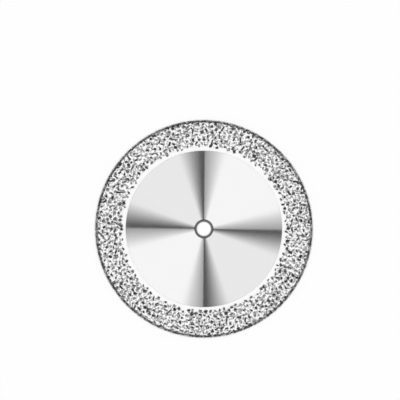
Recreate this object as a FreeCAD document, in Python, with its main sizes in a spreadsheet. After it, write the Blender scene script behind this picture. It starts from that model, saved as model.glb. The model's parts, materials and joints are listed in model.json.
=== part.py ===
import FreeCAD, Part
import itertools
import math
import os
import random
import Sketcher

# Double-sided diamond disc, 22 mm over the crystals, for a small screw mandrel.
# Units are millimetres. The origin is the centre of the bore, +Z is the disc's axis,
# and the disc lies flat, so its two faces are parallel to the XY plane.
#
# The real disc is a blank stamped from hard stainless sheet. Its rim is plated with
# nickel on both faces and round the edge, and one layer of diamond crystals stands
# half sunk in the nickel. Inside the crystals the plating ends in a bare, lower land.
# The sheet is etched before it is plated, so the plating sits in a shallow step, and
# the bare face inside that step is the one that the mandrel clamps.

# The driving dimensions: name, value and what it measures.
SIZES = (
    ("disc_diameter", 22.0, "over the crystals on the rim"),
    ("bore_diameter", 1.8, "clears the mandrel's screw"),
    ("bore_edge_break", 0.03, "chamfer on both ends of the bore"),
    ("blank_thickness", 0.15, "steel sheet"),
    ("etch_depth", 0.01, "steel etched off each face under the plating"),
    ("coat_inner_diameter", 15.8, "where the plating begins on each face"),
    ("toe_width", 0.05, "slope from the bare face up to the land"),
    ("land_width", 0.42, "bare nickel inside the crystals, with the toe"),
    ("land_height", 0.05, "land above the bare face"),
    ("step_width", 0.05, "slope from the land up to the bed"),
    ("bed_height", 0.09, "nickel between the crystals, above the bare face"),
    ("rim_thickness", 0.10, "nickel outside the blank's edge"),
    ("rim_bevel", 0.075, "bevel of the plating at the rim"),
    ("crystal_stand", 0.06, "how far a crystal's tip stands out of the nickel"),
    ("crystal_waist", 0.008, "how far its widest section lies under the nickel's face"),
    ("crystal_floor", 0.03, "nickel left between a crystal and the blank"),
    ("crystal_largest", 0.32, "width of the largest crystal at its waist"),
    ("crystal_smallest", 0.18, "width of the smallest crystal at its waist"),
    ("crystal_gap", 0.20, "least nickel between two of the largest crystals"),
    ("rim_crystal_width", 0.17, "width of a crystal on the rim"),
    ("rim_crystal_pitch", 0.78, "about the distance between crystals on the rim"),
)
SHEET = "sizes"

# Radii and heights that several features share, as expressions of the sheet's cells.
BARE_FACE = f"{SHEET}.blank_thickness / 2"
ETCHED_FACE = f"({BARE_FACE} - {SHEET}.etch_depth)"
COAT_INNER_RADIUS = f"{SHEET}.coat_inner_diameter / 2"
BORE_RADIUS = f"{SHEET}.bore_diameter / 2"
NICKEL_RADIUS = f"({SHEET}.disc_diameter / 2 - {SHEET}.crystal_stand)"
BLANK_RADIUS = f"({NICKEL_RADIUS} - {SHEET}.rim_thickness)"

ORIGIN = FreeCAD.Vector(0, 0, 0)
X_AXIS, Y_AXIS, Z_AXIS = (FreeCAD.Vector(*axis) for axis in ((1, 0, 0), (0, 1, 0), (0, 0, 1)))
# FreeCAD turns shapes by degrees, and the mathematics below is in radians.
HALF_TURN, QUARTER_TURN = 180, 90
FULL_TURN = 2 * math.pi
SAME_SIZE = 1e-6
FRONT, BACK = 1, -1
SEED = {FRONT: 11, BACK: 12, "rim": 13}
# A ring is full when this many random places in a row were too near to a crystal.
MISSES_WHEN_FULL = 150
# Every crystal is a three-sided or four-sided double pyramid, and none is regular.
CRYSTAL_SIDES = (3, 3, 3, 4)
CORNER_SHIFT = 0.2
TIP_SHIFT = 0.3
# Dressing leaves every second crystal at full height and the others a little lower.
TIP_HEIGHTS = (1.0, 0.8)


def make_sheet(doc):
    """The spreadsheet with the driving dimensions."""
    sheet = doc.addObject("Spreadsheet::Sheet", SHEET)
    for row, (name, value, words) in enumerate(SIZES, start=1):
        sheet.set(f"A{row}", words)
        sheet.set(f"B{row}", str(value))
        sheet.setAlias(f"B{row}", name)
    doc.recompute()
    return sheet


def make_body(doc, name):
    """An empty body whose label names the piece."""
    body = doc.addObject("PartDesign::Body", name)
    body.Label = name
    return body


def make_sketch(body, name, role):
    """An empty sketch on one of the body's own origin planes."""
    plane = next(f for f in body.Origin.OriginFeatures if f.Role == role)
    sketch = body.newObject("Sketcher::SketchObject", name)
    sketch.AttachmentSupport = [(plane, "")]
    sketch.MapMode = "FlatFace"
    return sketch


def drive(sketch, name, constraint, expression):
    """Adds a dimension to the sketch and binds it to the sheet."""
    sketch.renameConstraint(sketch.addConstraint(constraint), name)
    sketch.setExpression(f"Constraints.{name}", expression)


def pad_ring(body, name, outer, inner, thickness):
    """A flat ring of sheet, padded both ways from the disc's middle plane."""
    outline = make_sketch(body, f"{name}_outline", "XY_Plane")
    centre_point, origin = 3, (-1, 1)
    for which, rough_radius, expression in (("outer", 2.0, outer), ("inner", 1.0, inner)):
        circle = outline.addGeometry(Part.Circle(ORIGIN, Z_AXIS, rough_radius), False)
        outline.addConstraint(Sketcher.Constraint("Coincident", circle, centre_point, *origin))
        radius = Sketcher.Constraint("Radius", circle, rough_radius)
        drive(outline, f"{which}_radius", radius, expression)
    pad = body.newObject("PartDesign::Pad", name)
    pad.Profile = outline
    pad.SideType = "Symmetric"
    pad.setExpression("Length", f"2 * {thickness}")
    return pad


def make_blank(doc, sheet):
    """The steel blank: a stamped ring of sheet, etched under the plating, with the bore's burrs broken."""
    body = make_body(doc, "steel_blank")
    pad_ring(body, "etched_ring", BLANK_RADIUS, BORE_RADIUS, ETCHED_FACE)
    bare = pad_ring(body, "bare_ring", COAT_INNER_RADIUS, BORE_RADIUS, BARE_FACE)
    doc.recompute()
    level = sheet.blank_thickness / 2
    bore_edges = [
        f"Edge{n}"
        for n, edge in enumerate(bare.Shape.Edges, start=1)
        if isinstance(edge.Curve, Part.Circle)
        and math.isclose(2 * edge.Curve.Radius, sheet.bore_diameter, rel_tol=SAME_SIZE)
        and math.isclose(abs(edge.Curve.Center.z), level, rel_tol=SAME_SIZE)
    ]
    edge_break = body.newObject("PartDesign::Chamfer", "bore_edge_break")
    edge_break.Base = (bare, bore_edges)
    edge_break.setExpression("Size", f"{SHEET}.bore_edge_break")
    body.Tip = edge_break
    return body


def half_section(sketch):
    """The plating's section above the disc's mid-plane, from the blank's edge round to the rim."""
    # Drawn roughly at first: the dimensions further down give every corner its place.
    rough = {
        "blank_middle": (6, 0),
        "blank_corner": (6, 1),
        "seat_corner": (1, 1),
        "toe_foot": (1, 2),
        "toe_top": (2, 3),
        "land_end": (3, 3),
        "bed_start": (4, 4),
        "bed_end": (6, 4),
        "rim_top": (7, 3),
        "rim_middle": (7, 0),
    }
    names = list(rough)
    pairs = list(zip(names, names[1:] + names[:1]))
    # Each edge of the outline goes by the name of the corner where it starts.
    edge = {}
    for here, there in pairs:
        ends = (FreeCAD.Vector(*rough[name], 0) for name in (here, there))
        edge[here] = sketch.addGeometry(Part.LineSegment(*ends), False)
    start, end = 1, 2
    for here, there in pairs:
        sketch.addConstraint(Sketcher.Constraint("Coincident", edge[here], end, edge[there], start))
    for level in ("blank_corner", "toe_top", "bed_start"):
        sketch.addConstraint(Sketcher.Constraint("Horizontal", edge[level]))
    for upright in ("blank_middle", "seat_corner", "rim_top"):
        sketch.addConstraint(Sketcher.Constraint("Vertical", edge[upright]))
    x_axis = -1
    for middle in ("blank_middle", "rim_middle"):
        sketch.addConstraint(Sketcher.Constraint("PointOnObject", edge[middle], start, x_axis))

    corner = {name: (edge[name], start) for name in names}
    corner["origin"] = (-1, 1)
    rough["origin"] = (0, 0)
    for name, first, second, expression in (
        ("blank_radius", "origin", "blank_middle", BLANK_RADIUS),
        ("nickel_radius", "origin", "rim_middle", NICKEL_RADIUS),
        ("inner_radius", "origin", "toe_foot", COAT_INNER_RADIUS),
        ("toe_width", "toe_foot", "toe_top", f"{SHEET}.toe_width"),
        ("land_width", "toe_foot", "land_end", f"{SHEET}.land_width"),
        ("step_width", "land_end", "bed_start", f"{SHEET}.step_width"),
        ("bevel_width", "bed_end", "rim_top", f"{SHEET}.rim_bevel"),
    ):
        size = rough[second][0] - rough[first][0]
        drive(
            sketch, name,
            Sketcher.Constraint("DistanceX", *corner[first], *corner[second], size),
            expression,
        )
    for name, first, second, expression in (
        ("etched_face", "origin", "blank_corner", ETCHED_FACE),
        ("bare_face", "origin", "toe_foot", BARE_FACE),
        ("land_height", "toe_foot", "toe_top", f"{SHEET}.land_height"),
        ("bed_height", "toe_foot", "bed_start", f"{SHEET}.bed_height"),
        ("bevel_height", "rim_top", "bed_end", f"{SHEET}.rim_bevel"),
    ):
        size = rough[second][1] - rough[first][1]
        drive(
            sketch, name,
            Sketcher.Constraint("DistanceY", *corner[first], *corner[second], size),
            expression,
        )


def make_nickel(doc):
    """The nickel plating, revolved for one face and mirrored for the other."""
    body = make_body(doc, "nickel_bed")
    section = make_sketch(body, "nickel_section", "XZ_Plane")
    half_section(section)
    front = body.newObject("PartDesign::Revolution", "nickel_front")
    front.Profile = section
    front.ReferenceAxis = (section, ["V_Axis"])
    front.Angle = 360
    doc.recompute()
    plane = next(f for f in body.Origin.OriginFeatures if f.Role == "XY_Plane")
    both = body.newObject("PartDesign::Mirrored", "nickel_both_faces")
    both.Originals = [front]
    both.MirrorPlane = (plane, [""])
    body.Tip = both
    return body


def scatter(rng, inner, outer, gap):
    """Random places in a ring, none of them nearer to another than the gap."""
    cells, places, misses = {}, [], 0
    while misses < MISSES_WHEN_FULL:
        radius = math.sqrt(rng.uniform(inner**2, outer**2))
        turn = rng.uniform(0, FULL_TURN)
        x, y = radius * math.cos(turn), radius * math.sin(turn)
        column, line = math.floor(x / gap), math.floor(y / gap)
        near = [
            place
            for i in (column - 1, column, column + 1)
            for j in (line - 1, line, line + 1)
            for place in cells.get((i, j), ())
        ]
        if any(math.hypot(x - a, y - b) < gap for a, b in near):
            misses += 1
            continue
        cells.setdefault((column, line), []).append((x, y))
        places.append((x, y))
        misses = 0
    return places


def crystal(rng, width, stand, waist, root):
    """One double pyramid on the XY plane, which is the nickel's face: its upper tip stands out."""
    sides, spin = rng.choice(CRYSTAL_SIDES), rng.uniform(0, FULL_TURN)
    corners = []
    for k in range(sides):
        turn = spin + FULL_TURN * (k + rng.uniform(-CORNER_SHIFT, CORNER_SHIFT)) / sides
        corners.append(FreeCAD.Vector(width / 2 * math.cos(turn), width / 2 * math.sin(turn), -waist))
    shift = [rng.uniform(-TIP_SHIFT, TIP_SHIFT) * width / 2 for _ in "xy"]
    tip, bottom = FreeCAD.Vector(*shift, stand), FreeCAD.Vector(0, 0, -root)
    facets = []
    for a, b in zip(corners, corners[1:] + corners[:1]):
        facets.append(Part.Face(Part.makePolygon([a, b, tip, a])))
        facets.append(Part.Face(Part.makePolygon([b, a, bottom, b])))
    return Part.Solid(Part.Shell(facets))


def face_crystals(sheet, side):
    """The crystals on one face of the disc."""
    rng = random.Random(SEED[side])
    level = sheet.blank_thickness / 2 + sheet.bed_height
    root = sheet.bed_height + sheet.etch_depth - sheet.crystal_floor
    reach = sheet.crystal_largest / 2
    nickel_radius = sheet.disc_diameter / 2 - sheet.crystal_stand
    inner = sheet.coat_inner_diameter / 2 + sheet.land_width + sheet.step_width + reach
    outer = nickel_radius - sheet.rim_bevel - reach
    places = scatter(rng, inner, outer, sheet.crystal_largest + sheet.crystal_gap)
    made = []
    for (x, y), height in zip(places, itertools.cycle(TIP_HEIGHTS)):
        width = rng.uniform(sheet.crystal_smallest, sheet.crystal_largest)
        grain = crystal(rng, width, height * sheet.crystal_stand, sheet.crystal_waist, root)
        if side == BACK:
            grain.rotate(ORIGIN, X_AXIS, HALF_TURN)
        grain.translate(FreeCAD.Vector(x, y, side * level))
        made.append(grain)
    return made


def rim_crystals(sheet):
    """One row of crystals round the cutting edge, with one on each end of the X and Y axes."""
    rng = random.Random(SEED["rim"])
    root = sheet.rim_thickness - sheet.crystal_floor
    nickel_radius = sheet.disc_diameter / 2 - sheet.crystal_stand
    per_quarter = round(FULL_TURN / 4 * nickel_radius / sheet.rim_crystal_pitch)
    made = []
    for n in range(4 * per_quarter):
        grain = crystal(rng, sheet.rim_crystal_width, sheet.crystal_stand, sheet.crystal_waist, root)
        grain.rotate(ORIGIN, Y_AXIS, QUARTER_TURN)
        grain.translate(FreeCAD.Vector(nickel_radius, 0, 0))
        grain.rotate(ORIGIN, Z_AXIS, QUARTER_TURN * n / per_quarter)
        made.append(grain)
    return made


def make_coat(doc, sheet, nickel):
    """The diamond coat: the nickel and all its crystals, which nothing can part, as one solid."""
    grit = doc.addObject("Part::Feature", "diamond_crystals")
    crystals = face_crystals(sheet, FRONT) + face_crystals(sheet, BACK) + rim_crystals(sheet)
    grit.Shape = Part.Compound(crystals)
    coat = doc.addObject("Part::MultiFuse", "diamond_coat")
    coat.Label = "diamond_coat"
    coat.Shapes = [nickel, grit]
    coat.Refine = False
    return coat


def check(doc, pieces):
    """Stops the build if a feature failed or a piece's shape isn't sound."""
    failed = [f.Name for f in doc.Objects if {"Invalid", "Error"} & set(f.State)]
    if failed:
        raise RuntimeError(f"these features failed: {failed}")
    for piece in pieces:
        if piece.Shape.isNull() or not piece.Shape.isValid() or len(piece.Shape.Solids) != 1:
            raise RuntimeError(f"{piece.Label} isn't one sound solid")


def main():
    doc = FreeCAD.newDocument("diamond_disc")
    sheet = make_sheet(doc)
    blank = make_blank(doc, sheet)
    nickel = make_nickel(doc)
    doc.recompute()
    coat = make_coat(doc, sheet, nickel)
    doc.recompute()
    pieces = (blank, coat)
    check(doc, pieces)
    os.makedirs("parts", exist_ok=True)
    for piece in pieces:
        piece.Shape.exportStep(f"parts/{piece.Label}.step")
        print(piece.Label, "volume", round(piece.Shape.Volume, 4), "faces", len(piece.Shape.Faces))


main()
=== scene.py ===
import bmesh
import bpy
import json
import math
import random
from mathutils import Matrix, Vector


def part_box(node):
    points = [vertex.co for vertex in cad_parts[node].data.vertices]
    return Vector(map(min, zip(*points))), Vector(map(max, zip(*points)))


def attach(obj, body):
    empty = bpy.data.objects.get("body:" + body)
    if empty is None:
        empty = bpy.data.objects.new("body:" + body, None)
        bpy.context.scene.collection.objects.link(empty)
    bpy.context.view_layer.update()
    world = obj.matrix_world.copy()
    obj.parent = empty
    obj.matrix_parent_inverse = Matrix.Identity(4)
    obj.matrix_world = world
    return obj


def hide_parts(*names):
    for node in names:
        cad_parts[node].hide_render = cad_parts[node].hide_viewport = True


# Looks of the double-sided diamond disc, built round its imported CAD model.
# Blender's units are metres; sizes below are in millimetres times MM.
MM = 0.001
FULL_TURN = 2 * math.pi
Z_AXIS = Vector((0, 0, 1))
ORIGIN = Vector((0, 0, 0))
FRONT, BACK = 1, -1

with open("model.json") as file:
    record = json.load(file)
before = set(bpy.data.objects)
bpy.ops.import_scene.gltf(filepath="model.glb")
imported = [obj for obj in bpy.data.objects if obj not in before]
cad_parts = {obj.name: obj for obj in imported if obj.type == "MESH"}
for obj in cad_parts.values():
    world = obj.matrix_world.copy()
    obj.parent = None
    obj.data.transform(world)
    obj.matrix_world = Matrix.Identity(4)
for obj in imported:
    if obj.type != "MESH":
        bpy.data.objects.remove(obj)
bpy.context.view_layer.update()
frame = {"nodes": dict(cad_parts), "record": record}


def mount(name):
    """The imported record's entry for one mount."""
    return next(m for m in frame["record"]["mounts"] if m["name"] == name)


# Sizes that the frame gives.
BLANK_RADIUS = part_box("steel_blank")[1].x
BARE_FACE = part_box("steel_blank")[1].z
DISC_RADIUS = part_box("diamond_coat")[1].x
COAT_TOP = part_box("diamond_coat")[1].z
BORE_RADIUS = mount("bore")["dims"]["r_mm"] * MM

# Sizes of the plating's section, as on the CAD model.
CRYSTAL_STAND = 0.06 * MM
COAT_INNER_RADIUS = 7.9 * MM
ETCH_DEPTH = 0.01 * MM
TOE_WIDTH = 0.05 * MM
LAND_WIDTH = 0.42 * MM
LAND_HEIGHT = 0.05 * MM
STEP_WIDTH = 0.05 * MM
RIM_BEVEL = 0.075 * MM
NICKEL_RADIUS = DISC_RADIUS - CRYSTAL_STAND
GRIT_INNER_RADIUS = COAT_INNER_RADIUS + LAND_WIDTH + STEP_WIDTH

# Heights over the disc's middle plane.
SEAT_LEVEL = BARE_FACE - ETCH_DEPTH
LAND_LEVEL = BARE_FACE + LAND_HEIGHT
BED_LEVEL = COAT_TOP - CRYSTAL_STAND

# The seeds of the random draws.
MOULD_SEED, RIM_SEED = 21, 24
FACE_SEED = {FRONT: 22, BACK: 23}


# Modelling helpers.

RING_STEPS = 256
ROUNDING_STEPS = 4
# How round a section's soft corners are, as a share of its full rounding.
SOFT = 0.3


def finish_piece(bm, name, material, crease=None):
    """Turns a bmesh into a piece that rides on the one body, smooth up to a crease's degrees."""
    bmesh.ops.recalc_face_normals(bm, faces=bm.faces)
    mesh = bpy.data.meshes.new(name)
    bm.to_mesh(mesh)
    bm.free()
    mesh.materials.append(material)
    mesh.polygons.foreach_set("use_smooth", [crease is not None] * len(mesh.polygons))
    if crease is not None:
        mesh.set_sharp_from_angle(angle=math.radians(crease))
    piece = bpy.data.objects.new(name, mesh)
    bpy.context.scene.collection.objects.link(piece)
    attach(piece, "root")
    return piece


def both_sides(half):
    """A section's corners over the middle plane, and the same ones under it on the way back."""
    under = [(radius, -height, share) for radius, height, share in reversed(half)]
    return half + under


def spun_ring(corners, rounding):
    """A closed section (radius, height, share of the rounding) turned round the disc's axis."""
    bm = bmesh.new()
    made = [bm.verts.new((radius, 0, height)) for radius, height, _ in corners]
    bm.faces.new(made)
    for vert, (_, _, share) in zip(made, corners):
        if share:
            bmesh.ops.bevel(
                bm, geom=[vert], offset=rounding * share, affect="VERTICES",
                segments=ROUNDING_STEPS, profile=0.5, material=-1,
            )
    section = bm.faces[:]
    bmesh.ops.spin(
        bm, geom=bm.verts[:] + bm.edges[:], cent=ORIGIN, axis=Z_AXIS, angle=FULL_TURN,
        steps=RING_STEPS, use_merge=True,
    )
    bmesh.ops.delete(bm, geom=section, context="FACES_ONLY")
    return bm


def cut_off(bm, place, normal):
    """Cuts off what lies beyond a plane, and closes the shape again with a flat face."""
    cut = bmesh.ops.bisect_plane(
        bm, geom=bm.verts[:] + bm.edges[:] + bm.faces[:],
        plane_co=place, plane_no=normal, clear_outer=True,
    )
    rim = [part for part in cut["geom_cut"] if isinstance(part, bmesh.types.BMEdge)]
    if rim:
        bmesh.ops.contextual_create(bm, geom=rim)


# Node helpers.

class Nodes:
    """Short ways to add and join the nodes of one tree."""

    def __init__(self, tree):
        self.tree = tree

    def add(self, kind, settings=None, **sockets):
        node = self.tree.nodes.new(kind)
        for key, value in (settings or {}).items():
            setattr(node, key, value)
        for key, value in sockets.items():
            self.feed(node.inputs[key.replace("_", " ")], value)
        return node

    def feed(self, socket, value):
        if isinstance(value, bpy.types.NodeSocket):
            self.tree.links.new(value, socket)
        else:
            socket.default_value = value

    def math(self, operation, *values):
        node = self.add("ShaderNodeMath", {"operation": operation})
        for socket, value in zip(node.inputs, values):
            self.feed(socket, value)
        return node.outputs[0]

    def vector_math(self, operation, *values, output="Vector"):
        node = self.add("ShaderNodeVectorMath", {"operation": operation})
        for socket, value in zip(node.inputs, values):
            self.feed(socket, value)
        return node.outputs[output]

    def across_axis(self, place):
        """The part of a place that lies across the disc's axis, and its length."""
        flat = self.vector_math("MULTIPLY", place, (1, 1, 0))
        return flat, self.vector_math("LENGTH", flat, output="Value")

    def share(self, value, low, high):
        """How far a value lies on the way from low to high."""
        node = self.add("ShaderNodeMapRange", Value=value, From_Min=low, From_Max=high)
        return node.outputs["Result"]

    def mix(self, factor, first, second, blend="MIX"):
        node = self.add("ShaderNodeMix", {"data_type": "RGBA", "blend_type": blend})
        self.feed(node.inputs["Factor"], factor)
        self.feed(node.inputs[6], first)
        self.feed(node.inputs[7], second)
        return node.outputs[2]

    def ramp(self, factor, stops):
        """A ramp of greys, with its stops (place, grey) in rising order."""
        node = self.add("ShaderNodeValToRGB", Fac=factor)
        elements = node.color_ramp.elements
        elements[0].position = stops[0][0]
        elements[1].position = stops[-1][0]
        for place, _ in stops[1:-1]:
            elements.new(place)
        for element, (_, level) in zip(elements, stops):
            element.color = (level, level, level, 1)
        return node.outputs["Color"]


def new_group(name, inputs, outputs):
    """An empty node group with named sockets, and its input and output nodes."""
    tree = bpy.data.node_groups.new(name, "ShaderNodeTree")
    for socket, kind in inputs:
        tree.interface.new_socket(socket, in_out="INPUT", socket_type=kind)
    for socket, kind in outputs:
        tree.interface.new_socket(socket, in_out="OUTPUT", socket_type=kind)
    return tree, tree.nodes.new("NodeGroupInput"), tree.nodes.new("NodeGroupOutput")


def place_group(nodes, group, place, **values):
    """Places a group in a material, with its own values, and gives its outputs."""
    node = nodes.add("ShaderNodeGroup", {"node_tree": group})
    nodes.feed(node.inputs["Vector"], place)
    for socket, value in values.items():
        node.inputs[socket].default_value = value
    return node.outputs


def new_material(name):
    """An empty material with its Principled shader and output."""
    material = bpy.data.materials.new(name)
    material.use_nodes = True
    tree = material.node_tree
    tree.nodes.clear()
    nodes = Nodes(tree)
    shader = nodes.add("ShaderNodeBsdfPrincipled")
    out = nodes.add("ShaderNodeOutputMaterial")
    tree.links.new(shader.outputs["BSDF"], out.inputs["Surface"])
    return material, nodes, shader


# Effects, as node groups.

def turned_lines_group():
    """The fine concentric lines that a lathe leaves, as a normal that leans in and out."""
    tree, given, out = new_group(
        "turned_lines",
        [
            ("Vector", "NodeSocketVector"), ("Pitch", "NodeSocketFloat"),
            ("Slope", "NodeSocketFloat"), ("Unevenness", "NodeSocketFloat"),
        ],
        [("Normal", "NodeSocketVector"), ("Radius", "NodeSocketFloat")],
    )
    nodes = Nodes(tree)
    flat, radius = nodes.across_axis(given.outputs["Vector"])
    outward = nodes.vector_math("NORMALIZE", flat)
    turns = nodes.math("DIVIDE", radius, given.outputs["Pitch"])
    # The tool's chatter shifts the lines a little and cuts some deeper than others.
    chatter = nodes.add(
        "ShaderNodeTexNoise", {"noise_dimensions": "1D"}, W=turns, Scale=0.3, Detail=2.0,
    )
    centred = nodes.math("SUBTRACT", chatter.outputs["Fac"], 0.5)
    swing = nodes.math("MULTIPLY", centred, given.outputs["Unevenness"])
    angle = nodes.math("MULTIPLY", nodes.math("ADD", turns, swing), FULL_TURN)
    depth = nodes.math("MULTIPLY", given.outputs["Slope"], nodes.math("ADD", swing, 1))
    slope = nodes.math("MULTIPLY", nodes.math("SINE", angle), depth)
    tilt = nodes.vector_math("SCALE", outward)
    tree.links.new(slope, tilt.node.inputs["Scale"])
    geometry = nodes.add("ShaderNodeNewGeometry")
    leaning = nodes.vector_math("ADD", geometry.outputs["Normal"], tilt)
    tree.links.new(nodes.vector_math("NORMALIZE", leaning), out.inputs["Normal"])
    tree.links.new(radius, out.inputs["Radius"])
    return tree


def clouding_group():
    """Soft clouds between a dark and a light grey, and their height for a bump."""
    tree, given, out = new_group(
        "clouding",
        [
            ("Vector", "NodeSocketVector"), ("Scale", "NodeSocketFloat"),
            ("Detail", "NodeSocketFloat"), ("From", "NodeSocketFloat"),
            ("To", "NodeSocketFloat"), ("Curve", "NodeSocketFloat"),
            ("Dark", "NodeSocketFloat"), ("Light", "NodeSocketFloat"),
        ],
        [("Grey", "NodeSocketColor"), ("Height", "NodeSocketFloat")],
    )
    nodes = Nodes(tree)
    noise = nodes.add(
        "ShaderNodeTexNoise", Vector=given.outputs["Vector"],
        Scale=given.outputs["Scale"], Detail=given.outputs["Detail"],
    )
    share = nodes.share(noise.outputs["Fac"], given.outputs["From"], given.outputs["To"])
    curved = nodes.math("POWER", share, given.outputs["Curve"])
    grey = nodes.add(
        "ShaderNodeMapRange", Value=curved,
        To_Min=given.outputs["Dark"], To_Max=given.outputs["Light"],
    )
    tree.links.new(grey.outputs["Result"], out.inputs["Grey"])
    tree.links.new(noise.outputs["Fac"], out.inputs["Height"])
    return tree


# Materials.

# The distance from the disc's axis at which the ramps round the bore end.
BORE_RAMP_REACH = 2 * BORE_RADIUS

LINE_PITCH = 0.031 * MM
LINE_LEAN = math.radians(24)
# Painted shade: the steel's colour is painted dark on the bore's rolled edge, for the dark that
# edge reflects: shares of the ramps' reach, and greys.
BORE_EDGE_PAINTED_SHADE_STOPS = ((0.518, 0.095), (0.553, 0.69))


def turned_steel():
    """The blank's bare face: polished stainless steel with fine turned lines."""
    material, nodes, shader = new_material("turned_steel")
    place = nodes.add("ShaderNodeTexCoord").outputs["Object"]
    lines = place_group(
        nodes, turned_lines_group(), place,
        Pitch=LINE_PITCH, Slope=math.tan(LINE_LEAN), Unevenness=0.6,
    )
    nodes.feed(shader.inputs["Normal"], lines["Normal"])
    # The base colour carries a painted dark ring on the bore's rolled edge, a painted reflection of
    # the dark below it.
    reach = nodes.math("DIVIDE", lines["Radius"], BORE_RAMP_REACH)
    nodes.feed(shader.inputs["Base Color"], nodes.ramp(reach, BORE_EDGE_PAINTED_SHADE_STOPS))
    shader.inputs["Metallic"].default_value = 1
    shader.inputs["Roughness"].default_value = 0.045
    return material


NICKEL_CLOUDS = 4.8 / MM
LAND_COLOUR = (0.95, 0.95, 0.95, 1)
PEBBLE_HEIGHT = 0.03 * MM
# Painted shade: the plating's colour is painted dark in this width round its edge, for the dark
# that its rounded rim reflects.
RIM_PAINTED_SHADE_WIDTH = 0.215 * MM
RIM_PAINTED_SHADE_COLOUR = (0.16, 0.16, 0.16, 1)
# How strong the painted shade is: shares of that width, from the inside, and strengths.
RIM_PAINTED_SHADE_STOPS = ((0.0, 0.0), (0.24, 1.0), (0.70, 1.0), (1.0, 0.4))


def satin_nickel(clouding):
    """The plating: smooth on the bare land, pebbled and clouded between the crystals, with painted
    shade round the rim.
    """
    material, nodes, shader = new_material("satin_nickel")
    place = nodes.add("ShaderNodeTexCoord").outputs["Object"]
    _, radius = nodes.across_axis(place)
    bed = nodes.share(radius, GRIT_INNER_RADIUS, GRIT_INNER_RADIUS + 2 * STEP_WIDTH)
    pebbles = place_group(
        nodes, clouding, place, Scale=NICKEL_CLOUDS, Detail=3.0,
        From=0.395, To=0.55, Curve=1.0, Dark=0.27, Light=0.965,
    )
    plain = nodes.mix(bed, LAND_COLOUR, pebbles["Grey"])
    # Painted shade: the colour darkens towards the rim, in place of the rim's dark reflection.
    from_rim = nodes.share(radius, NICKEL_RADIUS - RIM_PAINTED_SHADE_WIDTH, NICKEL_RADIUS)
    shaded = nodes.mix(nodes.ramp(from_rim, RIM_PAINTED_SHADE_STOPS), plain, RIM_PAINTED_SHADE_COLOUR)
    nodes.feed(shader.inputs["Base Color"], shaded)
    height = nodes.math("MULTIPLY", pebbles["Height"], bed)
    bump = nodes.add("ShaderNodeBump", Height=height, Strength=0.6, Distance=PEBBLE_HEIGHT)
    nodes.feed(shader.inputs["Normal"], bump.outputs["Normal"])
    shader.inputs["Metallic"].default_value = 1
    shader.inputs["Roughness"].default_value = 0.55
    return material


MOUND_CLOUDS = 4.2 / MM
MOUND_PEBBLE_HEIGHT = 0.02 * MM


def mound_nickel(clouding):
    """The mounds of nickel round the crystals: brighter than the bed, and hardly clouded."""
    material, nodes, shader = new_material("mound_nickel")
    place = nodes.add("ShaderNodeTexCoord").outputs["Object"]
    clouds = place_group(
        nodes, clouding, place, Scale=MOUND_CLOUDS, Detail=4.0,
        From=0.35, To=0.6, Curve=1.0, Dark=0.78, Light=0.97,
    )
    nodes.feed(shader.inputs["Base Color"], clouds["Grey"])
    bump = nodes.add(
        "ShaderNodeBump", Height=clouds["Height"], Strength=0.4, Distance=MOUND_PEBBLE_HEIGHT,
    )
    nodes.feed(shader.inputs["Normal"], bump.outputs["Normal"])
    shader.inputs["Metallic"].default_value = 1
    shader.inputs["Roughness"].default_value = 0.5
    return material


DIAMOND_CLOUDS = 3.4 / MM


def diamond(name, clouding, **greys):
    """Diamond crystals: glassy and mostly dark, with lighter clouds where nickel covers them."""
    material, nodes, shader = new_material(name)
    place = nodes.add("ShaderNodeTexCoord").outputs["Object"]
    clouds = place_group(nodes, clouding, place, Scale=DIAMOND_CLOUDS, Detail=1.0, **greys)
    nodes.feed(shader.inputs["Base Color"], clouds["Grey"])
    shader.inputs["Roughness"].default_value = 0.22
    shader.inputs["IOR"].default_value = 1.45
    return material


# The blank and its plating.

# The punch leaves a sloping edge round the bore: its width, and the share of the face's
# height that it comes down to.
ROLL_WIDTH = 0.07 * MM
ROLL_FOOT = 0.35


def make_blank(material):
    """The steel blank, with the bore's edges rolled over by the punch."""
    bm = spun_ring(both_sides([
        (BORE_RADIUS, BARE_FACE * ROLL_FOOT, SOFT),
        (BORE_RADIUS + ROLL_WIDTH, BARE_FACE, 0.8),
        (COAT_INNER_RADIUS, BARE_FACE, 0),
        (COAT_INNER_RADIUS, SEAT_LEVEL, 0),
        (BLANK_RADIUS, SEAT_LEVEL, 0),
    ]), ROLL_WIDTH / 2)
    blank = finish_piece(bm, "turned_blank", material, crease=30)
    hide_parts("steel_blank")


def make_plating(material):
    """The nickel plating: toe, bare land, step, bed and rounded rim on both faces."""
    bm = spun_ring(both_sides([
        (BLANK_RADIUS, SEAT_LEVEL, 0),
        (COAT_INNER_RADIUS, SEAT_LEVEL, 0),
        (COAT_INNER_RADIUS, BARE_FACE, 0),
        (COAT_INNER_RADIUS + TOE_WIDTH, LAND_LEVEL, SOFT),
        (COAT_INNER_RADIUS + LAND_WIDTH, LAND_LEVEL, SOFT),
        (GRIT_INNER_RADIUS, BED_LEVEL, SOFT),
        (NICKEL_RADIUS, BED_LEVEL, 1),
    ]), RIM_BEVEL)
    plating = finish_piece(bm, "nickel_plating", material, crease=50)
    return plating


# Moulds of the crystals and of the nickel mounds.

MOULD_COUNT = 16
MOULD_CUTS = 7
# How far from the block's middle a cut may lie, where 1 is half the block's side.
CUT_DEPTHS = (0.75, 1.0)
SHORTEST_EDGE = 0.06
DOME_SIDES, DOME_BANDS = 12, 2


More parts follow.
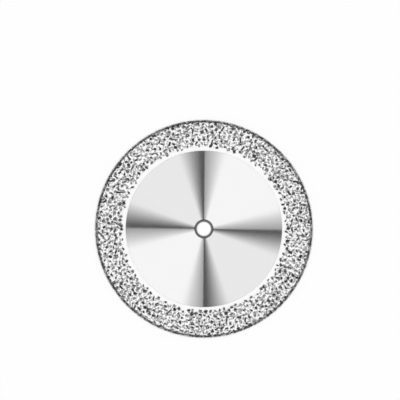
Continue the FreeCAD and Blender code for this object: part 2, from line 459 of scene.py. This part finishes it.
def crystal_moulds(rng):
    """Unit blocks with random corners cut off, which the crystals are copies of."""
    moulds = []
    for n in range(MOULD_COUNT):
        bm = bmesh.new()
        bmesh.ops.create_cube(bm, size=2)
        for _ in range(MOULD_CUTS):
            normal = Vector([rng.gauss(0, 1) for _ in range(3)]).normalized()
            cut_off(bm, normal * rng.uniform(*CUT_DEPTHS), normal)
        bmesh.ops.remove_doubles(bm, verts=bm.verts, dist=SHORTEST_EDGE)
        for axis in range(3):
            low, high = (pick(v.co[axis] for v in bm.verts) for pick in (min, max))
            shift, stretch = Vector((0, 0, 0)), Vector((1, 1, 1))
            shift[axis] = -(low + high) / 2
            stretch[axis] = 2 / (high - low)
            bmesh.ops.translate(bm, verts=bm.verts, vec=shift)
            bmesh.ops.scale(bm, verts=bm.verts, vec=stretch)
        mould = bpy.data.meshes.new(f"crystal_mould_{n}")
        bm.to_mesh(mould)
        bm.free()
        moulds.append(mould)
    return moulds


def dome_mould():
    """A half ball of radius 1, closed below, which the nickel mounds are copies of."""
    bm = bmesh.new()
    middle = bm.verts.new(ORIGIN)
    angles = [n / DOME_BANDS * FULL_TURN / 4 for n in range(DOME_BANDS + 1)]
    arc = [bm.verts.new((math.cos(angle), 0, math.sin(angle))) for angle in angles]
    for pair in zip([middle] + arc, arc):
        bm.edges.new(pair)
    bmesh.ops.spin(
        bm, geom=bm.verts[:] + bm.edges[:], cent=ORIGIN, axis=Z_AXIS, angle=FULL_TURN,
        steps=DOME_SIDES, use_merge=True,
    )
    bmesh.ops.remove_doubles(bm, verts=bm.verts, dist=SHORTEST_EDGE)
    dome = bpy.data.meshes.new("dome_mould")
    bm.to_mesh(dome)
    bm.free()
    return dome


# Places of the crystals.

SURFACE_TOLERANCE = 0.001 * MM
SAME_PLACE = 0.0001 * MM
# A ring is full when this many random places in a row were too near to a crystal.
MISSES_WHEN_FULL = 400


def cad_crystals():
    """The middle and radius of the foot of each of the CAD model's crystals."""
    bm = bmesh.new()
    bm.from_mesh(frame["nodes"]["diamond_coat"].data)
    bmesh.ops.remove_doubles(bm, verts=bm.verts, dist=SAME_PLACE)
    found = {FRONT: [], BACK: [], "rim": []}
    for vert in bm.verts:
        outward = vert.co.xy.length > NICKEL_RADIUS + SURFACE_TOLERANCE
        if not outward and abs(vert.co.z) < BED_LEVEL + SURFACE_TOLERANCE:
            continue
        feet = [edge.other_vert(vert).co for edge in vert.link_edges]
        middle = sum(feet, Vector()) / len(feet)
        radius = max((foot - middle).length for foot in feet)
        where = "rim" if outward else FRONT if vert.co.z > 0 else BACK
        found[where].append((middle, radius))
    bm.free()
    return found


def scatter(rng, taken, inner, outer, gap):
    """More random places in a ring, none nearer than the gap to another or to those taken."""
    cells = {}

    def cell(place):
        return int(place.x // gap), int(place.y // gap)

    def is_free(place):
        across, along = cell(place)
        near = [cells.get((across + i, along + j), []) for i in (-1, 0, 1) for j in (-1, 0, 1)]
        return all((place - other).length >= gap for group in near for other in group)

    for place in taken:
        cells.setdefault(cell(place), []).append(place)
    places, misses = [], 0
    while misses < MISSES_WHEN_FULL:
        radius = math.sqrt(rng.uniform(inner**2, outer**2))
        turn = rng.uniform(0, FULL_TURN)
        place = Vector((radius * math.cos(turn), radius * math.sin(turn)))
        if not is_free(place):
            misses += 1
            continue
        cells.setdefault(cell(place), []).append(place)
        places.append(place)
        misses = 0
    return places


# One crystal and its mound.

# The tips of the innermost crystals reach this far in over the step and the land.
INNER_TIPS = 0.2 * MM
# The nickel climbs up each crystal in a mound: this wide round it, this share of its
# height, and sunk this deep in the bed. Its foot ends this far in from the rim.
MOUND_RIM = 0.05 * MM
MOUND_RISE = 0.35
MOUND_FOOT = 0.01 * MM
MOUND_SETBACK = 0.03 * MM


def add_copy(bm, mould, *moves):
    """Adds a moved copy of a mould; each move is a matrix, or makes one from the copy's corners."""
    copy = mould.copy()
    for move in moves:
        copy.transform(move(copy.vertices) if callable(move) else move)
    bm.from_mesh(copy)
    bpy.data.meshes.remove(copy)


def add_mound(bm, dome, place, outward, turned, half_width, half_length, stand):
    """The mound of nickel that holds one crystal."""
    size = Matrix.Diagonal((
        half_length + MOUND_RIM, half_width + MOUND_RIM, stand * MOUND_RISE + MOUND_FOOT, 1,
    ))
    sunk = Matrix.Translation((0, 0, -MOUND_FOOT))

    def inside_rim(verts):
        too_far = max(v.co.xy.length for v in verts) - (NICKEL_RADIUS - MOUND_SETBACK)
        return Matrix.Translation(outward * min(0, -too_far))

    add_copy(bm, dome, Matrix.Translation(place) @ turned @ sunk @ size, inside_rim)


def add_crystal(bm, rng, moulds, place, up, half_width, stand, root, stretch=1.0, mounds=None):
    """One crystal: its foot is at place, and it stands out of the surface along up.

    Where mounds are given, as their bmesh and mould, it gets one of them.
    """
    outward = Vector((place.x, place.y, 0)).normalized()
    size = Matrix.Diagonal((half_width * stretch, half_width, (stand + root) / 2, 1))
    lift = Matrix.Translation((0, 0, (stand - root) / 2))
    spin = Matrix.Rotation(rng.uniform(0, FULL_TURN), 4, "Z")
    aim = up.to_track_quat("Z", "Y").to_matrix().to_4x4()
    if mounds:
        add_mound(*mounds, place, outward, aim @ spin, half_width, half_width * stretch, stand)

    def inside_disc(verts):
        reaches = [v.co.xy.length for v in verts]
        too_far = max(0, max(reaches) - DISC_RADIUS)
        too_near = max(0, GRIT_INNER_RADIUS - INNER_TIPS - min(reaches))
        too_high = max(0, max(abs(v.co.z) for v in verts) - COAT_TOP)
        level = Vector((0, 0, -math.copysign(too_high, place.z)))
        return Matrix.Translation(outward * (too_near - too_far) + level)

    mould = rng.choice(moulds)
    add_copy(bm, mould, Matrix.Translation(place) @ aim @ spin @ lift @ size, inside_disc)


# The crystals on the faces.

# How far a crystal reaches down into the nickel.
CRYSTAL_ROOT = 0.05 * MM
# The middles of the innermost crystals lie this far in over the step.
INNER_MIDDLES = 0.08 * MM
# In this width of the band's inner edge the crystals are stubby, so that the edge is even.
STUBBY_WIDTH = 0.25 * MM
STUBBY_STRETCH = 1.6
# The CAD model's crystals: widths over theirs, heights as shares of a full crystal's, and
# slimness, which is width over length.
STANDING_WIDTH = 1.33
STANDING_HEIGHTS = (0.7, 1.0)
STANDING_SLIMNESS = (0.5, 1.0)
# The crystals between them: least distance, share of splinters among them, and for
# splinters and grains the widths, lengths over width, and heights as shares.
BETWEEN_SPACING = 0.385 * MM
SPLINTER_SHARE = 0.65
SPLINTER = ((0.155 * MM, 0.215 * MM), (1.6, 3.0), (0.5, 0.9))
GRAIN = ((0.215 * MM, 0.36 * MM), (0.8, 1.5), (0.5, 1.0))


def stretch_limit(place):
    """The most that a crystal may be stretched at this place on the face."""
    is_at_edge = place.xy.length < GRIT_INNER_RADIUS + STUBBY_WIDTH
    return STUBBY_STRETCH if is_at_edge else math.inf


def make_face_crystals(name, side, standing, moulds, mounds, material):
    """The crystals on one face: those of the CAD model, and others between them."""
    rng = random.Random(FACE_SEED[side])
    level = side * BED_LEVEL
    up = Vector((0, 0, side))
    bm = bmesh.new()
    for middle, radius in standing:
        place = Vector((middle.x, middle.y, level))
        stand = CRYSTAL_STAND * rng.uniform(*STANDING_HEIGHTS)
        slim = max(rng.uniform(*STANDING_SLIMNESS), 1 / stretch_limit(place))
        half_width = radius * STANDING_WIDTH * slim
        add_crystal(bm, rng, moulds, place, up, half_width, stand, CRYSTAL_ROOT, 1 / slim, mounds)
    inner, outer = GRIT_INNER_RADIUS - INNER_MIDDLES, NICKEL_RADIUS - RIM_BEVEL
    for spot in scatter(rng, [middle.xy for middle, _ in standing], inner, outer, BETWEEN_SPACING):
        place = Vector((spot.x, spot.y, level))
        widths, lengths, heights = SPLINTER if rng.random() < SPLINTER_SHARE else GRAIN
        half_width = rng.uniform(*widths) / 2
        stand = CRYSTAL_STAND * rng.uniform(*heights)
        stretch = min(rng.uniform(*lengths), stretch_limit(place))
        add_crystal(bm, rng, moulds, place, up, half_width, stand, CRYSTAL_ROOT, stretch, mounds)
    piece = finish_piece(bm, name, material)
    return piece


def make_mounds(bm, material):
    """The mounds of both faces, as one piece."""
    piece = finish_piece(bm, "nickel_mounds", material, crease=60)
    return piece


# The crystals over the rim.

RIM_SPACING = 0.13 * MM
RIM_WIDTHS = (0.12 * MM, 0.20 * MM)
RIM_HEIGHTS = (0.35, 0.85)
# How far a crystal may lie from its place along the row, as a share of the spacing, and
# from its row's angle, in degrees, and the shares of its row's setback that it may have.
RIM_SHIFT = 0.4
RIM_LEAN = 12
RIM_SETBACKS = (0.5, 1.3)
# Rows of crystals: how far each lies in from the rim's bevel, the angle in degrees of its
# up direction from the disc's plane, and the share of places that are filled.
RIM_HALF = ((0.05 * MM, 90, 0.35), (0.02 * MM, 82, 0.5), (0.0, 56, 0.35), (0.0, 20, 0.3))
RIM_ROWS = RIM_HALF + tuple((setback, -row, share) for setback, row, share in RIM_HALF)


def make_rim_crystals(standing, moulds, material):
    """The crystals over the rounded rim, which make the dark cutting edge."""
    rng = random.Random(RIM_SEED)
    bm = bmesh.new()
    # The height of the middle of the rim's rounding.
    bend_height = BED_LEVEL - RIM_BEVEL
    count = round(FULL_TURN * NICKEL_RADIUS / RIM_SPACING)
    for setback, row, share in RIM_ROWS:
        for n in range(count):
            if rng.random() > share:
                continue
            turn = FULL_TURN * (n + rng.uniform(-RIM_SHIFT, RIM_SHIFT)) / count
            lean = math.radians(max(-90, min(90, row + rng.uniform(-RIM_LEAN, RIM_LEAN))))
            half_width = rng.uniform(*RIM_WIDTHS) / 2
            stand = CRYSTAL_STAND * rng.uniform(*RIM_HEIGHTS)
            away = Vector((math.cos(turn), math.sin(turn), 0))
            up = away * math.cos(lean) + Z_AXIS * math.sin(lean)
            bend_radius = NICKEL_RADIUS - RIM_BEVEL - setback * rng.uniform(*RIM_SETBACKS)
            # Crystals that lean little spread over the wall between the two roundings.
            height = max(-bend_height, min(bend_height, 2 * bend_height * math.sin(lean)))
            place = away * bend_radius + Z_AXIS * height + up * RIM_BEVEL
            add_crystal(bm, rng, moulds, place, up, half_width, stand, CRYSTAL_ROOT / 2)
    for middle, radius in standing:
        away = Vector((middle.x, middle.y, 0)).normalized()
        place = away * NICKEL_RADIUS + Z_AXIS * middle.z
        add_crystal(bm, rng, moulds, place, away, radius, CRYSTAL_STAND, CRYSTAL_ROOT / 2)
    piece = finish_piece(bm, "rim_crystals", material)
    return piece


# Stage.

FLOOR_REACH = 2.0
FLOOR_COLOUR = (0.9, 0.9, 0.9, 1)
# The share of the floor that glows white for the camera; the rest is the light on it.
FLOOR_GLOW = 0.9
CONTACT_SHADE_REACH = 0.2 * MM
# The disc's shadow on the floor, inside the bore: shares of the ramps' reach, and greys.
BORE_SHADOW_STOPS = ((0.375, 1.0), (0.445, 0.085), (0.75, 0.085), (0.8, 1.0))


def make_floor():
    """The plain pale surface that the disc lies on."""
    bm = bmesh.new()
    # One face of three corners, so that no seam crosses the picture.
    bmesh.ops.create_circle(bm, cap_ends=True, segments=3, radius=FLOOR_REACH)
    bmesh.ops.translate(bm, verts=bm.verts, vec=(0, 0, -COAT_TOP))
    mesh = bpy.data.meshes.new("floor")
    bm.to_mesh(mesh)
    bm.free()
    floor = bpy.data.objects.new("floor", mesh)
    bpy.context.scene.collection.objects.link(floor)
    material, nodes, shader = new_material("pale_floor")
    shader.inputs["Base Color"].default_value = FLOOR_COLOUR
    shader.inputs["Roughness"].default_value = 1
    shader.inputs["Specular IOR Level"].default_value = 0
    path = nodes.add("ShaderNodeLightPath")
    mirrored = nodes.math(
        "MAXIMUM", path.outputs["Is Glossy Ray"], path.outputs["Is Transmission Ray"],
    )
    seen = nodes.math("MAXIMUM", path.outputs["Is Camera Ray"], mirrored)
    close = nodes.add(
        "ShaderNodeAmbientOcclusion", {"samples": 16}, Distance=CONTACT_SHADE_REACH,
    )
    place = nodes.add("ShaderNodeTexCoord").outputs["Object"]
    radius = nodes.vector_math("LENGTH", place, output="Value")
    reach = nodes.math("DIVIDE", radius, BORE_RAMP_REACH)
    underside = nodes.add("ShaderNodeNewGeometry").outputs["Backfacing"]
    bore_shadow = nodes.math("MAXIMUM", nodes.ramp(reach, BORE_SHADOW_STOPS), underside)
    shade = nodes.mix(1.0, close.outputs["Color"], bore_shadow, blend="MULTIPLY")
    glow = nodes.add("ShaderNodeEmission", Color=shade, Strength=1.0)
    mix = nodes.add("ShaderNodeMixShader", Fac=nodes.math("MULTIPLY", seen, FLOOR_GLOW))
    out = next(n for n in material.node_tree.nodes if n.type == "OUTPUT_MATERIAL")
    nodes.feed(mix.inputs[1], shader.outputs["BSDF"])
    nodes.feed(mix.inputs[2], glow.outputs["Emission"])
    nodes.feed(out.inputs["Surface"], mix.outputs["Shader"])
    mesh.materials.append(material)


# The panels stand turned this far from the axes.
PANEL_TURN = math.radians(-0.7)
# How bright the panels are from a gap's middle, at 0, to their own, at 1, in the quarters
# where X and Y have the same sign, and in the other two.
BRIGHT_PANEL_STOPS = ((0.0, 0.50), (0.067, 0.60), (0.20, 0.88), (0.33, 1.22), (0.37, 1.28))
PLAIN_PANEL_STOPS = (
    (0.02, 0.08), (0.067, 0.125), (0.111, 0.22), (0.20, 0.43), (0.33, 0.81), (0.44, 1.13),
)
# The panels are dimmer near the floor: heights as sines of their angle, and shares.
LOW_PANEL_STOPS = ((0.08, 0.65), (0.38, 1.0))
LIGHT_STRENGTH = 1.04


def make_light():
    """Four soft panels round the camera, with dark gaps between them near the X and Y axes."""
    world = bpy.data.worlds.new("studio")
    bpy.context.scene.world = world
    world.use_nodes = True
    tree = world.node_tree
    tree.nodes.clear()
    nodes = Nodes(tree)
    direction = nodes.add("ShaderNodeTexCoord").outputs["Generated"]
    turned = nodes.add(
        "ShaderNodeVectorRotate", {"rotation_type": "Z_AXIS"}, Vector=direction, Angle=-PANEL_TURN,
    )
    axes = nodes.add("ShaderNodeSeparateXYZ", Vector=turned.outputs["Vector"])
    x, y, z = (axes.outputs[axis] for axis in "XYZ")
    quarters = nodes.math("DIVIDE", nodes.math("ARCTAN2", y, x), FULL_TURN / 4)
    nearest_gap = nodes.math("ROUND", quarters)
    from_gap = nodes.math("ABSOLUTE", nodes.math("SUBTRACT", quarters, nearest_gap))
    to_middle = nodes.math("MULTIPLY", from_gap, 2)
    has_same_sign = nodes.math("GREATER_THAN", nodes.math("MULTIPLY", x, y), 0)
    panels = nodes.mix(
        has_same_sign,
        nodes.ramp(to_middle, PLAIN_PANEL_STOPS), nodes.ramp(to_middle, BRIGHT_PANEL_STOPS),
    )
    lit = nodes.mix(1.0, panels, nodes.ramp(z, LOW_PANEL_STOPS), blend="MULTIPLY")
    light = nodes.add("ShaderNodeBackground", Color=lit, Strength=LIGHT_STRENGTH)
    backdrop = nodes.add("ShaderNodeBackground", Color=(1, 1, 1, 1), Strength=1.0)
    path = nodes.add("ShaderNodeLightPath")
    mix = nodes.add("ShaderNodeMixShader", Fac=path.outputs["Is Camera Ray"])
    out = nodes.add("ShaderNodeOutputWorld")
    nodes.feed(mix.inputs[1], light.outputs[0])
    nodes.feed(mix.inputs[2], backdrop.outputs[0])
    nodes.feed(out.inputs["Surface"], mix.outputs[0])


# Where the disc lies in the picture, in pixels from the top left, and the picture's width.
PICTURE_WIDTH = 400
DISC_CENTRE_ACROSS, DISC_CENTRE_DOWN = 203.9, 228.9
DISC_RADIUS_SEEN = 108.7
LENS_MM, SENSOR_MM = 600, 36
NEAREST_SEEN = 0.01


def make_camera():
    """Looks straight down, from far enough to show the disc's face without its walls."""
    pixel = DISC_RADIUS / DISC_RADIUS_SEEN
    data = bpy.data.cameras.new("camera")
    data.lens = LENS_MM
    data.sensor_width = SENSOR_MM
    data.clip_start = NEAREST_SEEN
    camera = bpy.data.objects.new("camera", data)
    distance = PICTURE_WIDTH * pixel * LENS_MM / SENSOR_MM
    right = (PICTURE_WIDTH / 2 - DISC_CENTRE_ACROSS) * pixel
    up = (DISC_CENTRE_DOWN - PICTURE_WIDTH / 2) * pixel
    camera.location = (right, up, distance)
    bpy.context.scene.collection.objects.link(camera)
    bpy.context.scene.camera = camera


def make_disc():
    """All pieces of the disc, in place of the CAD model's two nodes."""
    clouding = clouding_group()
    face_diamond = diamond(
        "face_diamond", clouding, From=0.43, To=0.68, Curve=1.5, Dark=0.015, Light=0.4,
    )
    edge_diamond = diamond(
        "edge_diamond", clouding, From=0.42, To=0.68, Curve=1.9, Dark=0.015, Light=0.42,
    )
    make_blank(turned_steel())
    coat = [make_plating(satin_nickel(clouding))]
    moulds = crystal_moulds(random.Random(MOULD_SEED))
    standing = cad_crystals()
    mounds, dome = bmesh.new(), dome_mould()
    for name, side in (("front_crystals", FRONT), ("back_crystals", BACK)):
        coat.append(make_face_crystals(
            name, side, standing[side], moulds, (mounds, dome), face_diamond,
        ))
    coat.append(make_mounds(mounds, mound_nickel(clouding)))
    coat.append(make_rim_crystals(standing["rim"], moulds, edge_diamond))
    for piece in coat:
        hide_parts("diamond_coat")
    for mould in moulds + [dome]:
        bpy.data.meshes.remove(mould)


bpy.context.scene.view_settings.view_transform = "Standard"
make_light()
make_camera()
make_floor()
make_disc()
